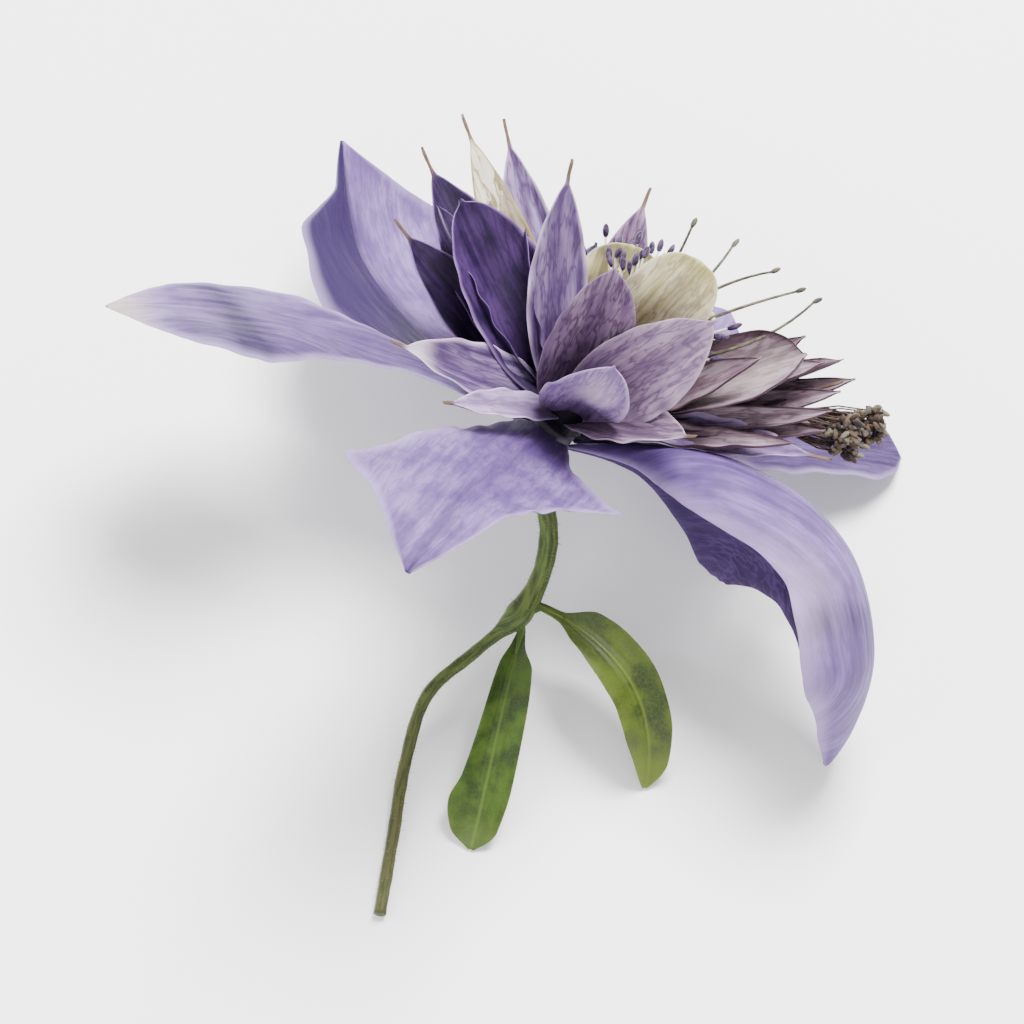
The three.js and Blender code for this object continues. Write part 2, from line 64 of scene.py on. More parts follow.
PETAL_THICKNESS = 0.5
PETALOID_THICKNESS = 0.42
LEAF_THICKNESS = 0.45


# ---- Directions and small helpers ----

def direction(right, up, near):
    """A direction in the viewer's right, up and near, turned into the frame."""
    return np.array([right,
                     up * math.cos(LEAN) - near * math.sin(LEAN),
                     up * math.sin(LEAN) + near * math.cos(LEAN)])


def seen(right, up, near):
    return CROWN + direction(right, up, near)


def unit(vector):
    return vector / np.maximum(np.linalg.norm(vector, axis=-1, keepdims=True), 1e-12)


AXIS = unit(direction(*FACING))


def off_axis(vector):
    """The part of a vector that is square to the flower's axis."""
    return vector - AXIS * (vector @ AXIS)


ACROSS = unit(off_axis(direction(1, 0, 0)))
BEHIND = np.cross(AXIS, ACROSS)


def on_axis(height):
    return CROWN + AXIS * height


def spoke(azimuth):
    """A unit vector square to the axis; azimuth 0 is to the right and 90 away from the viewer."""
    angle = math.radians(azimuth)
    return ACROSS * math.cos(angle) + BEHIND * math.sin(angle)


def sprung(height, azimuth, opening, length):
    """Where something ends that leaves the axis at a height, opening from it by some degrees."""
    angle = math.radians(opening)
    return on_axis(height) + AXIS * length * math.cos(angle) + spoke(azimuth) * length * math.sin(angle)


def lerp(pair, share):
    return pair[0] + (pair[1] - pair[0]) * share


def chance(seed):
    """A repeatable random number between -1 and 1."""
    value = math.sin(seed * 12.9898 + 4.137) * 43758.5453
    return 2 * (value - math.floor(value)) - 1


def chances(seed, *steps):
    """A vector of such numbers, one for each step from the seed."""
    return np.array([chance(seed + step) for step in steps])


def smooth(low, high, value):
    """0 below low, 1 above high and a soft step between them."""
    share = np.clip((value - low) / (high - low), 0, 1)
    return share * share * (3 - 2 * share)


def bell(value, centre, spread):
    return np.exp(-(((value - centre) / spread) ** 2))


def ripples(across, along, seed, waves=6):
    """A smooth random relief between about -1 and 1, with waves about 2 pi long."""
    total = np.zeros_like(across)
    for wave in range(waves):
        heading = math.pi * chance(seed + 0.11 * wave)
        pace = 1 + 0.5 * chance(seed + 7 + 0.13 * wave)
        phase = math.pi * chance(seed + 15 + 0.17 * wave)
        total += np.sin(pace * (across * math.cos(heading) + along * math.sin(heading)) + phase)
    return total / waves ** 0.5


def rest_on(height, floor, bend=3):
    """Keeps what would sink into the surface lying on it, with a soft bend where it comes down."""
    above = height - floor
    soft = floor + (above + bend) ** 2 / (4 * bend)
    return np.where(above >= bend, height, np.where(above <= -bend, floor, soft))


def walked(points):
    """The distance along a line of points up to each of them."""
    return np.concatenate([[0], np.cumsum(np.linalg.norm(np.diff(points, axis=0), axis=1))])


def bowed(start, middle, end, steps):
    """Points along a soft bow that leaves its start towards a middle point."""
    t = np.linspace(0, 1, steps)[:, None]
    return (1 - t) ** 2 * start + 2 * (1 - t) * t * middle + t ** 2 * end


# ---- Meshes ----

PAINTED = ("share", "side", "across", "along", "back", "seed", "dark", "cream", "awn")


def linked(name, data):
    """A new object in the scene."""
    made = bpy.data.objects.new(name, data)
    bpy.context.scene.collection.objects.link(made)
    return made


class Batch:
    """Collects the parts of a piece, with what its material reads at each vertex, and makes its object."""

    def __init__(self):
        self.points = []
        self.faces = []
        self.painted = {name: [] for name in PAINTED}
        self.count = 0

    def add(self, points, faces, **painted):
        self.points.append(points)
        self.faces.extend(tuple(int(corner) + self.count for corner in face) for face in faces)
        for name in PAINTED:
            values = np.broadcast_to(np.asarray(painted.get(name, 0.0), float).reshape(-1), (len(points),))
            self.painted[name].append(values)
        self.count += len(points)

    def piece(self, name, material, slot, node):
        points = np.concatenate(self.points)
        points[:, 2] = np.maximum(points[:, 2], FLOOR_GAP)
        mesh = bpy.data.meshes.new(name)
        mesh.from_pydata((points * MM).tolist(), [], self.faces)
        for attribute, values in self.painted.items():
            layer = mesh.attributes.new(attribute, "FLOAT", "POINT")
            layer.data.foreach_set("value", np.concatenate(values).astype(np.float32))
        mesh.polygons.foreach_set("use_smooth", [True] * len(mesh.polygons))
        mesh.materials.append(material)
        made = linked(name, mesh)
        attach(made, "root")
        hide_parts(node)


def grid_faces(index):
    """The quads of a grid whose vertex numbers are given, wound so that they face along columns x rows."""
    corners = index[:-1, :-1], index[:-1, 1:], index[1:, 1:], index[1:, :-1]
    return np.stack([corner.reshape(-1) for corner in corners], axis=1)


def closed(rings, start, end):
    """Points and faces of a skin over rings of points that closes at a start and an end."""
    count, sides = len(rings), len(rings[0])
    index = np.arange(count * sides).reshape(count, sides)
    index = np.concatenate([index, index[:, :1]], axis=1)
    faces = [*grid_faces(index)]
    faces += [(count * sides, b, a) for a, b in zip(index[0], index[0, 1:])]
    faces += [(count * sides + 1, a, b) for a, b in zip(index[-1], index[-1, 1:])]
    return np.concatenate([np.array(rings).reshape(-1, 3), [start], [end]]), faces


# ---- Blades ----

NO_CURL = 1e-4  # stands for a curl of 0, which would divide by 0

BLADE = dict(
    facing=AXIS,  # where the face looks, as far as the chord allows
    arch=(0, 0),  # how far the midrib stands off its chord at a third and two thirds, towards its face
    sway=0,  # how far the midrib bows sideways
    turn=(0, 0),  # degrees that the blade is turned about its midrib, at the root and the tip
    curl=(0, 0),  # how far the two halves curl towards the face, in radians at the edge
    crease=0,  # how far the halves fold up along the midrib
    ruffle=0,  # height of the waves in the edges
    waves=2.5,
    phase=0,
    belly=0.58,  # where it is widest, as a share of its length
    point=1,  # how sharply it narrows to its tip
    awl=0,  # the share of its length that is a thin drawn-out tip
    root_width=2.4,
    tip_width=0.7,
    thickness=PETALOID_THICKNESS,
    edges=(),  # where given, the half width at some shares of the length, on the two sides
    ribs=0.12,  # depth of the three grooves along the face
    flutes=0.05,  # height of the fine ridges between the veins
    crumple=0.35,  # height of the uneven waves all over
    frill=0.3,  # height of the small waves in the edges
    # `dark` gives deep colour, in places painted shade; `cream` gives pale colour, in places a painted
    # highlight
    dark=0,
    cream=0,
)


def outline(share, belly, point, awl):
    """Half the width of a plain blade, as a share of its widest half."""
    along = np.clip(share / (1 - awl), 0, 1)
    rise = point * belly / (1 - belly)
    peak = belly ** rise * (1 - belly) ** point
    return along ** rise * (1 - along) ** point / peak


def midrib(spec, share):
    """Points and tangents of the midrib, with the direction that the blade's face looks."""
    root, tip = spec["root"], spec["tip"]
    length = np.linalg.norm(tip - root)
    along = (tip - root) / length
    face = unit(spec["facing"] - along * (along @ spec["facing"]))
    sideways = unit(np.cross(along, face))
    first, second = (root + along * length * third + face * lift + sideways * spec["sway"]
                     for third, lift in zip((1 / 3, 2 / 3), spec["arch"]))
    t = share[..., None]
    centre = ((1 - t) ** 3 * root + 3 * (1 - t) ** 2 * t * first + 3 * (1 - t) * t ** 2 * second
              + t ** 3 * tip)
    tangent = (1 - t) ** 2 * (first - root) + 2 * (1 - t) * t * (second - first) + t ** 2 * (tip - second)
    return centre, unit(tangent), face, length


def through(knots, share):
    """A soft curve through knots, from shares to values, with no overshoot between them."""
    places, values = np.array([*knots.items()], float).T
    slopes = np.diff(values) / np.diff(places)
    flat = slopes[:-1] * slopes[1:] <= 0
    inner = np.where(flat, 0, 2 * slopes[:-1] * slopes[1:] / np.where(flat, 1, slopes[:-1] + slopes[1:]))
    leaning = np.concatenate([slopes[:1], inner, slopes[-1:]])
    index = np.clip(np.searchsorted(places, share, side="right") - 1, 0, len(places) - 2)
    reach = places[index + 1] - places[index]
    t = (share - places[index]) / reach
    return ((2 * t ** 3 - 3 * t ** 2 + 1) * values[index]
            + (t ** 3 - 2 * t ** 2 + t) * reach * leaning[index]
            + (3 * t ** 2 - 2 * t ** 3) * values[index + 1]
            + (t ** 3 - t ** 2) * reach * leaning[index + 1])


def half_width(spec, share, side):
    if spec["edges"]:
        return np.where(side < 0, *(through(edge, share) for edge in spec["edges"]))
    half = spec["width"] / 2 * outline(share, spec["belly"], spec["point"], spec["awl"])
    return (half + spec["root_width"] / 2 * (1 - share) ** 4
            + spec["tip_width"] / 2 * np.minimum(1, 4 * share))


def relief(spec, share, side, across, along):
    """How far the middle of the sheet stands off the smooth blade, towards its face."""
    seed = spec["seed"]
    tapered = np.sin(np.pi * np.clip(share, 0.02, 0.98)) ** 0.6
    spacing = 0.3 * (1 - 0.35 * share)
    ribs = sum(bell(side, rib * spacing, 0.035) for rib in (-1, 0, 1))
    flutes = np.sin(2.4 * across + 1.5 * ripples(0.15 * across, 0.12 * along, seed))
    crumple = ripples(0.42 * across, 0.28 * along, seed + 3)
    wander = 2 * ripples(0.2 * across, 0.2 * along, seed + 5)
    frill = side ** 4 * np.sin(0.9 * along + wander + 2 * np.sign(side))
    uneven = spec["flutes"] * flutes + spec["crumple"] * crumple + spec["frill"] * frill
    return tapered * uneven - spec["ribs"] * ribs * tapered


def blade_middle(spec, share, side):
    """The middle surface of a blade, and its coordinates in millimetres across and along it."""
    centre, tangent, face, length = midrib(spec, share)
    turned = np.radians(lerp(spec["turn"], share))[..., None]
    flat = unit(np.cross(tangent, face))
    flat = flat * np.cos(turned) + np.cross(tangent, flat) * np.sin(turned)
    normal = unit(np.cross(flat, tangent))
    half = half_width(spec, share, side)
    bend = np.where(side < 0, *(curl or NO_CURL for curl in spec["curl"]))
    fold = np.sqrt(side ** 2 + 0.01) - 0.1
    lift = half * (1 - np.cos(bend * side)) / bend + half * spec["crease"] * fold
    lift = lift + spec["ruffle"] * side ** 2 * np.sin(np.pi * share) * np.sin(
        2 * np.pi * spec["waves"] * share + spec["phase"] + np.where(side < 0, 2, 0))
    across, along = half * side, length * share
    lift = lift + relief(spec, share, side, across, along)
    point = centre + flat * (half * np.sin(bend * side) / bend)[..., None] + normal * lift[..., None]
    point[..., 2] = rest_on(point[..., 2], spec["thickness"] / 2 + FLOOR_GAP)
    return point, across, along


def add_blade(batch, rows, columns, **given):
    """Adds a blade as a closed sheet whose faces meet in a thin edge."""
    spec = {**BLADE, **given}
    share = np.linspace(0, 1, rows + 1)[:, None] + np.zeros(columns + 1)
    side = np.sin(np.linspace(-1, 1, columns + 1) * math.pi / 2) + np.zeros((rows + 1, 1))
    middle, across, along = blade_middle(spec, share, side)
    normal = unit(np.cross(np.gradient(middle, axis=1), np.gradient(middle, axis=0)))
    body = (np.sqrt(np.clip(1 - np.abs(side) ** 5, 0, 1))
            * np.sqrt(np.clip(1 - (2 * share - 1) ** 30, 0, 1)))
    offset = normal * (spec["thickness"] / 2 * body)[..., None]
    front = np.arange(share.size).reshape(share.shape)
    back = front.copy()
    back[1:-1, 1:-1] = front.size + np.arange((rows - 1) * (columns - 1)).reshape(rows - 1, columns - 1)
    points = np.concatenate([(middle + offset).reshape(-1, 3), (middle - offset)[1:-1, 1:-1].reshape(-1, 3)])
    faces = np.concatenate([grid_faces(front), grid_faces(back)[:, ::-1]])

    def both(values):
        values = np.broadcast_to(values, share.shape)
        return np.concatenate([values.reshape(-1), values[1:-1, 1:-1].reshape(-1)])

    dark, cream = (look(share, side) if callable(look) else look for look in (spec["dark"], spec["cream"]))
    awn = smooth(1 - spec["awl"] - 0.02, 1 - spec["awl"] + 0.03, share) if spec["awl"] > 0.05 else 0
    batch.add(points, faces, share=both(share), side=both(side), across=both(across), along=both(along),
              back=np.arange(len(points)) >= front.size, seed=(spec["seed"] * 0.618) % 1, dark=both(dark),
              cream=both(cream), awn=both(awn))


def rooted(tip, height, reach):
    """Root and tip of a blade that grows from the flower's axis at a height."""
    foot = on_axis(height)
    return dict(root=foot + unit(off_axis(tip - foot)) * reach, tip=tip)


# ---- Materials ----

def srgb(code):
    """A colour written as #rrggbb, in the linear values that materials take."""
    channels = [int(code[place:place + 2], 16) / 255 for place in (1, 3, 5)]
    linear = [c / 12.92 if c <= 0.04045 else ((c + 0.055) / 1.055) ** 2.4 for c in channels]
    return (*linear, 1.0)


class Paint:
    """A procedural material under construction, with methods that add its nodes."""

    def __init__(self, name, roughness, sheen=0.0, sheen_tint="#ffffff", subsurface=0.0, specular=0.3):
        self.material = bpy.data.materials.new(name)
        self.material.use_nodes = True
        self.nodes = self.material.node_tree.nodes
        self.links = self.material.node_tree.links
        self.shader = self.nodes["Principled BSDF"]
        settings = {"Roughness": roughness, "Sheen Weight": sheen, "Sheen Roughness": 0.4,
                    "Sheen Tint": srgb(sheen_tint), "Subsurface Weight": subsurface,
                    "Subsurface Radius": (1.0, 0.7, 1.0), "Subsurface Scale": 0.0012,
                    "Specular IOR Level": specular}
        for socket, value in settings.items():
            self.shader.inputs[socket].default_value = value

    def put(self, value, socket):
        """Gives a socket the output of a node, a number or a colour written as #rrggbb."""
        if isinstance(value, bpy.types.NodeSocket):
            self.links.new(value, socket)
        else:
            socket.default_value = srgb(value) if isinstance(value, str) else value

    def node(self, kind, sockets, output=0, **settings):
        """Adds a node with its settings and what its sockets get, and returns one of its outputs."""
        node = self.nodes.new("ShaderNode" + kind)
        for name, value in settings.items():
            setattr(node, name, value)
        for socket, value in sockets.items():
            self.put(value, node.inputs[socket])
        return node.outputs[output]

    def attributes(self, *names):
        return [self.node("Attribute", {}, "Fac", attribute_name=name) for name in names]

    def math(self, operation, first, second=0.0):
        return self.node("Math", {0: first, 1: second}, operation=operation)

    def times(self, first, second):
        return self.math("MULTIPLY", first, second)

    def step(self, value, low, high, to_low=0.0, to_high=1.0):
        sockets = dict(enumerate((value, low, high, to_low, to_high)))
        return self.node("MapRange", sockets, interpolation_type="SMOOTHSTEP")

    def mix(self, share, first, second):
        return self.node("Mix", {0: share, 6: first, 7: second}, 2, data_type="RGBA")

    def over(self, color, other, mask, amount):
        """A colour with another one over it, as far as a mask and an amount say."""
        return self.mix(self.times(mask, amount), color, other)

    def vector(self, x, y, z):
        return self.node("CombineXYZ", {0: x, 1: y, 2: z})

    def noise(self, vector, scale, detail=3.0):
        sockets = {"Vector": vector, "Scale": scale, "Detail": detail, "Roughness": 0.55}
        return self.node("TexNoise", sockets, "Fac")

    def cells(self, vector, scale):
        sockets = {"Vector": vector, "Scale": scale}
        return self.node("TexVoronoi", sockets, "Distance", feature="DISTANCE_TO_EDGE")

    def place(self):
        """The point in the object, in millimetres."""
        point = self.node("TexCoord", {}, "Object")
        return self.node("VectorMath", {0: point, "Scale": 1 / MM}, operation="SCALE")

    def ridges(self, vector, scale, width):
        """Thin branching lines: 1 on the line and 0 away from it."""
        folded = self.math("ABSOLUTE", self.math("SUBTRACT", self.noise(vector, scale, 2.0), 0.5))
        return self.step(folded, 0.0, width, 1.0, 0.0)

    def done(self, color, height=None, bump=0.3, depth=0.2, roughness=None):
        self.put(color, self.shader.inputs["Base Color"])
        if roughness is not None:
            self.put(roughness, self.shader.inputs["Roughness"])
        if height is not None:
            sockets = {"Strength": bump, "Distance": depth * MM, "Height": height}
            self.put(self.node("Bump", sockets), self.shader.inputs["Normal"])
        return self.material


PETAL_TONES = dict(
    # low and high of the face, middle bar and veins, margin, back, and where the blade's dark and cream say
    # Most margins are lighter, in part a painted highlight on edges that catch the light; the deep tone is
    # also the painted shade towards the base.
    lavender="#614a80 #8570a4 #523672 #a08dbb #463264 #24133e #b0a892",
    # The drooping petal's copy is darker, with a near black back: painted shade on its underside, seen
    # beyond its near edge.
    drooping="#5a4479 #79629e #543a72 #a08db8 #281842 #2a1948 #bfaebb",
    violet="#180b2a #3b2550 #11071d #7c5f94 #2a1b40 #08030f #c3b4cd",
    lilac="#6c5483 #9d86b0 #472b60 #bba6c8 #503c66 #1c0e2c #cbb8ca",
    pinkish="#7d6886 #b096ae #553a5b #c0a9bb #55405b #211126 #c8b6b8",
    brown="#634a6c #917a92 #2b162f #8a7687 #281c2c #0e060f #9b8a8e",
    silver="#66545f #9a8892 #4a2f3f #25121a #43313b #1a0c13 #c2b6ae",
    paper="#a69873 #d2c7a6 #75623c #7b6a42 #a69873 #6a5a3c #e0d8c4",
    cream="#aca576 #dcd7ae #8a7468 #e2dcbe #8d8455 #5f5c22 #95963a",
)
AWN = "#5a483c"
PETAL_ROUGHNESS = 0.55


def petal_paint(kind, streaks=0.5, veins=0.4, bar_strength=0.5, margin=0.5, margin_from=0.8, shade=0.6,
                clouds=0.4, alpha=None, sheen_tint="#c9b4f0", subsurface=0.06):
    """Petal tissue: streaks and veins along the blade, a bar down its middle, a margin and a duller back.

    It is darker towards its base, a painted shade where the blades crowd. The margin is mostly lighter, in
    part a painted highlight where the edges catch the light. The blade's `dark` and `cream` say where it is
    deep coloured or pale; in places they stand for painted shade and a painted highlight.
    """
    low, high, bar, edge, back, deep, pale = PETAL_TONES[kind].split()
    paint = Paint("petal_" + kind, PETAL_ROUGHNESS, sheen=0.03, sheen_tint=sheen_tint, subsurface=subsurface,
                  specular=0.18)
    across, along, seed, share = paint.attributes("across", "along", "seed", "share")
    side, dark, cream, turned, awn = paint.attributes("side", "dark", "cream", "back", "awn")
    side = paint.math("ABSOLUTE", side)
    shifted = paint.times(seed, 90.0)
    grain = paint.vector(across, paint.times(along, 0.09), shifted)
    fine = paint.vector(across, paint.times(along, 0.16), shifted)
    cloud = paint.noise(paint.vector(across, along, shifted), 0.16, 4.0)
    streak = paint.noise(grain, 0.75, 4.0)
    line = paint.ridges(fine, 0.9, 0.075)
    tone = paint.math("ADD", paint.times(streak, 1 - clouds), paint.times(cloud, clouds))
    color = paint.mix(paint.step(tone, 0.38, 0.62), low, high)
    bar_mask = paint.times(paint.step(side, 0.5, 0.05), paint.step(share, 1.0, 0.45, 0.15, 1.0))
    bar_mask = paint.times(bar_mask, paint.step(streak, 0.3, 0.6, 0.45, 1.0))
    color = paint.over(color, bar, bar_mask, bar_strength)
    color = paint.over(color, bar, line, veins)
    # deep tone where `dark` says: the petaloids' own deep violet, and painted shade on some outer petals and
    # on the column
    color = paint.over(color, deep, dark, paint.step(streak, 0.3, 0.7, 1.0, 1 - streaks))
    # lighter margin on most kinds, in part a painted highlight where the edges catch the light
    color = paint.over(color, edge, paint.step(side, margin_from, 1.0), margin)
    # pale where `cream` says: pale tissue, and on the drooping petal a painted highlight
    color = paint.over(color, pale, cream, paint.step(streak, 0.3, 0.7, 0.75, 1.0))
    color = paint.over(color, paint.over(back, bar, line, 0.5), turned, 0.85)
    # painted shade: the deep tone towards the base, where the blades crowd
    color = paint.over(color, deep, paint.step(share, 0.5, 0.0), shade)
    color = paint.mix(awn, color, AWN)
    velvet = paint.noise(paint.place(), 7.0, 2.0)
    height = paint.math("ADD", paint.times(paint.noise(fine, 2.6), 0.8), paint.times(velvet, 0.5))
    rough = paint.step(paint.noise(grain, 1.2), 0.3, 0.7, PETAL_ROUGHNESS - 0.08, PETAL_ROUGHNESS + 0.1)
    if alpha is not None:
        solid = paint.math("MAXIMUM", line, paint.step(side, 0.75, 1.0))
        paint.put(paint.step(solid, 0.0, 1.0, alpha, 1.0), paint.shader.inputs["Alpha"])
    return paint.done(color, height, bump=0.45, depth=0.25, roughness=rough)


def leaf_paint(name, low, high, vein, tip, back):
    """Leaf tissue: a green that varies, pale sunken veins and a yellower tip."""
    paint = Paint(name, roughness=0.45, sheen=0.04, subsurface=0.1)
    across, along, seed, share = paint.attributes("across", "along", "seed", "share")
    cream, turned = paint.attributes("cream", "back")
    flat = paint.vector(across, along, paint.times(seed, 60.0))
    cloud = paint.noise(flat, 0.25, 4.0)
    net = paint.step(paint.cells(flat, 1.5), 0.0, 0.1, 1.0, 0.0)
    color = paint.mix(paint.step(cloud, 0.35, 0.65), low, high)
    color = paint.over(color, vein, net, 0.2)
    color = paint.over(color, vein, paint.step(paint.math("ABSOLUTE", across), 0.1, 0.45, 1.0, 0.0), 0.6)
    color = paint.over(color, tip, paint.step(share, 0.75, 1.0), 0.5)
    color = paint.mix(cream, color, tip)
    color = paint.over(color, low, paint.step(share, 0.4, 0.15), 0.35)
    color = paint.over(color, back, turned, 0.7)
    height = paint.math("SUBTRACT", paint.times(paint.noise(flat, 2.5), 0.5), paint.times(net, 0.3))
    rough = paint.step(cloud, 0.3, 0.7, 0.5, 0.65)
    return paint.done(color, height, bump=0.35, depth=0.15, roughness=rough)


def stem_paint():
    """Green stem with browner ridges, more of them towards the cut, and near black where the piece's `dark`
    says, a painted shade at the neck and receptacle.
    """
    paint = Paint("stem_green", roughness=0.6, sheen=0.1, sheen_tint="#e8efd0", subsurface=0.05)
    across, along, share, cream, dark = paint.attributes("across", "along", "share", "cream", "dark")
    grain = paint.vector(across, paint.times(along, 0.15), 0.0)
    streak = paint.noise(grain, 1.4, 4.0)
    color = paint.mix(paint.step(streak, 0.35, 0.65), "#27330f", "#4a5a22")
    ridge = paint.step(streak, 0.4, 0.7, 0.25, 0.9)
    color = paint.over(color, "#43361f", paint.step(share, 0.3, 0.9), ridge)
    color = paint.mix(cream, color, "#858c5c")
    # painted shade: near black violet where `dark` says
    color = paint.mix(dark, color, "#241530")
    return paint.done(color, paint.noise(grain, 3.0), bump=0.5)


def plain_paint(name, low, high, scale=0.8, roughness=0.55, sheen=0.1, bump=0.4):
    """A mottled two-tone finish, paler where the piece's `cream` says."""
    paint = Paint(name, roughness, sheen=sheen, subsurface=0.1)
    cream = paint.attributes("cream")[0]
    cloud = paint.noise(paint.place(), scale, 4.0)
    color = paint.mix(paint.step(cloud, 0.35, 0.65), low, high)
    color = paint.mix(cream, color, "#d8d3ad")
    return paint.done(color, paint.noise(paint.place(), scale * 4), bump=bump, depth=0.15)


# ---- Stalk and leaves ----

STALK = dict(
    route=[(-2.9, -3.4, -2), (-2.9, -9, -4.2), (-1.3, -16.5, -6.6), (-2.4, -23.5, -8.1), (-5.9, -29.8, -8.9),
           (-12.8, -35.8, -9.7), (-20.2, -42.5, -9.2), (-23.6, -53, -8.2), (-25.4, -64, -5.3),
           (-27.4, -76, 0.3)],
    neck=1.7, radius=1.5, stem=0.95, node=0.341, node_radius=2.1, node_reach=0.035,
)
STALK_RINGS, STALK_SIDES, STALK_HAIRS = 150, 36, 900
# Radius and height on the flower's axis, from the stalk up to the flat top.
RECEPTACLE = [(0.2, -6.3), (1.6, -5.9), (2.3, -5.5), (3.1, -4.8), (3.6, -4.2), (3.8, -3.6), (3.8, -1.8),
              (3.7, -0.4), (3.2, 0), (0.3, 0.02)]
TURNED_SIDES = 40
ASKEW = (0.31, 0.95, 0.05)  # a direction that no tube begins along


def smooth_route(places, count):
    """Evenly spaced points along a soft curve through the given ones."""
    ends = [2 * places[0] - places[1], *places, 2 * places[-1] - places[-2]]
    curve = []
    for before, start, end, after in zip(ends, ends[1:], ends[2:], ends[3:]):
        squared = 2 * before - 5 * start + 4 * end - after
        cubed = 3 * start - before - 3 * end + after
        for t in np.linspace(0, 1, 40, endpoint=False):
            curve.append(0.5 * (2 * start + (end - before) * t + squared * t ** 2 + cubed * t ** 3))
    curve = np.array([*curve, places[-1]])
    along = walked(curve)
    spaced = np.linspace(0, along[-1], count)
    return np.stack([np.interp(spaced, along, curve[:, k]) for k in range(3)], axis=1)


def add_tube(batch, centres, radii, sides, ridges=0.0, ridge_count=6, **painted):
    """Adds a closed tube along centres, whose radii vary, with ridges along it."""
    centres = np.asarray(centres, float)
    count = len(centres)
    radii = np.broadcast_to(np.asarray(radii, float), (count,))
    tangents = unit(np.gradient(centres, axis=0))
    normal = unit(np.cross(tangents[0], ASKEW))
    angle = np.linspace(0, 2 * math.pi, sides, endpoint=False)[:, None]
    rings = []
    for centre, tangent, radius in zip(centres, tangents, radii):
        normal = unit(normal - tangent * (normal @ tangent))
        bulge = radius * (1 + ridges * np.cos(ridge_count * angle))
        rings.append(centre + bulge * (normal * np.cos(angle) + np.cross(tangent, normal) * np.sin(angle)))

    def ended(values):
        return np.concatenate([values, [values[0], values[-1]]])

    around = np.tile(angle[:, 0], count)
    values = dict(share=ended(np.repeat(np.linspace(0, 1, count), sides)),
                  along=ended(np.repeat(walked(centres), sides)),
                  across=ended(3 * np.abs(np.sin(around / 2)) * np.repeat(radii, sides)))
    for name, value in painted.items():
        values[name] = ended(np.repeat(value, sides)) if np.ndim(value) else value
    batch.add(*closed(rings, centres[0], centres[-1]), **values)
    return np.array(rings)


def stalk_radius(share):
    plain = np.where(share < STALK["node"],
                     lerp((STALK["neck"], STALK["radius"]), np.minimum(1, 2 * share / STALK["node"])),
                     STALK["stem"])
    return lerp((plain, STALK["node_radius"]), bell(share, STALK["node"], STALK["node_reach"]))


def add_hair(batch, foot, heading, length, radius, **painted):
    """Adds a fine bent hair."""
    middle = foot + heading * length * 0.5
    bent = unit(heading + np.array([0.2, 0.1, 0.35]) * 0.6)
    add_tube(batch, [foot, middle, middle + bent * length * 0.5], [radius, radius * 0.8, radius * 0.25],
             sides=3, **painted)


def add_grain(batch, middle, heading, reach, radius, ridges=0.16, **painted):
    """Adds a small long grain with furrows, such as an anther."""
    spaced = np.linspace(-1, 1, 9)
    radii = radius * np.sqrt(np.clip(1 - spaced ** 2, 0.03, 1))
    add_tube(batch, [middle + heading * reach * place for place in spaced], radii, sides=8, ridges=ridges,
             ridge_count=4, **painted)


def add_turned(batch, profile, bumps=0.0, **painted):
    """Adds a solid turned about the flower's axis from a profile of radius and height."""
    angle = np.linspace(0, 2 * math.pi, TURNED_SIDES, endpoint=False)
    rounds = np.cos(angle)[:, None] * ACROSS + np.sin(angle)[:, None] * BEHIND
    rings = []
    for radius, height in profile:
        wobble = 1 + bumps * np.sin(5 * angle + 3 * height) * np.sin(2.2 * height)
        rings.append(on_axis(height) + rounds * (radius * wobble)[:, None])
    batch.add(*closed(rings, on_axis(profile[0][1]), on_axis(profile[-1][1])), **painted)


def make_stalk():
    batch, down = Batch(), Batch()
    material = stem_paint()
    centres = smooth_route([seen(*place) for place in STALK["route"]], STALK_RINGS)
    share = np.linspace(0, 1, STALK_RINGS)
    radii = stalk_radius(share) * (1 + 0.03 * np.sin(70 * share) + 0.02 * np.sin(171 * share))
    # dark: painted shade on the neck, where it goes in under the petals
    rings = add_tube(batch, centres, radii, sides=STALK_SIDES, ridges=0.07,
                     dark=0.85 * smooth(0.1, 0.04, share))
    profile = smooth_route([np.array([radius, height, 0]) for radius, height in RECEPTACLE], 40)
    # the receptacle is painted near black, a painted shade in the gap under the petals
    add_turned(batch, profile[:, :2], dark=0.9)
    batch.piece("stalk_skin", material, "stalk", "stalk")
    for number in range(STALK_HAIRS):
        ring = int(lerp((2, STALK_RINGS - 5), (0.5 + 0.5 * chance(number + 0.2)) ** 1.4))
        spot = int((0.5 + 0.5 * chance(number + 0.7)) * (STALK_SIDES - 0.01))
        foot = rings[ring, spot]
        if foot[2] < 1.0:  # no hairs where the stalk lies on the surface
            continue
        heading = unit(foot - centres[ring])
        add_hair(down, foot - heading * 0.1, heading, 0.55 + 0.25 * chance(number + 0.4), 0.035, cream=0.8)
    down.piece("stalk_down", material, "stalk", "stalk")


LEAF_NODE = (-5.9, -29.8, -8.9)
LEAF_FACING = direction(0.35, 0.25, 0.9)

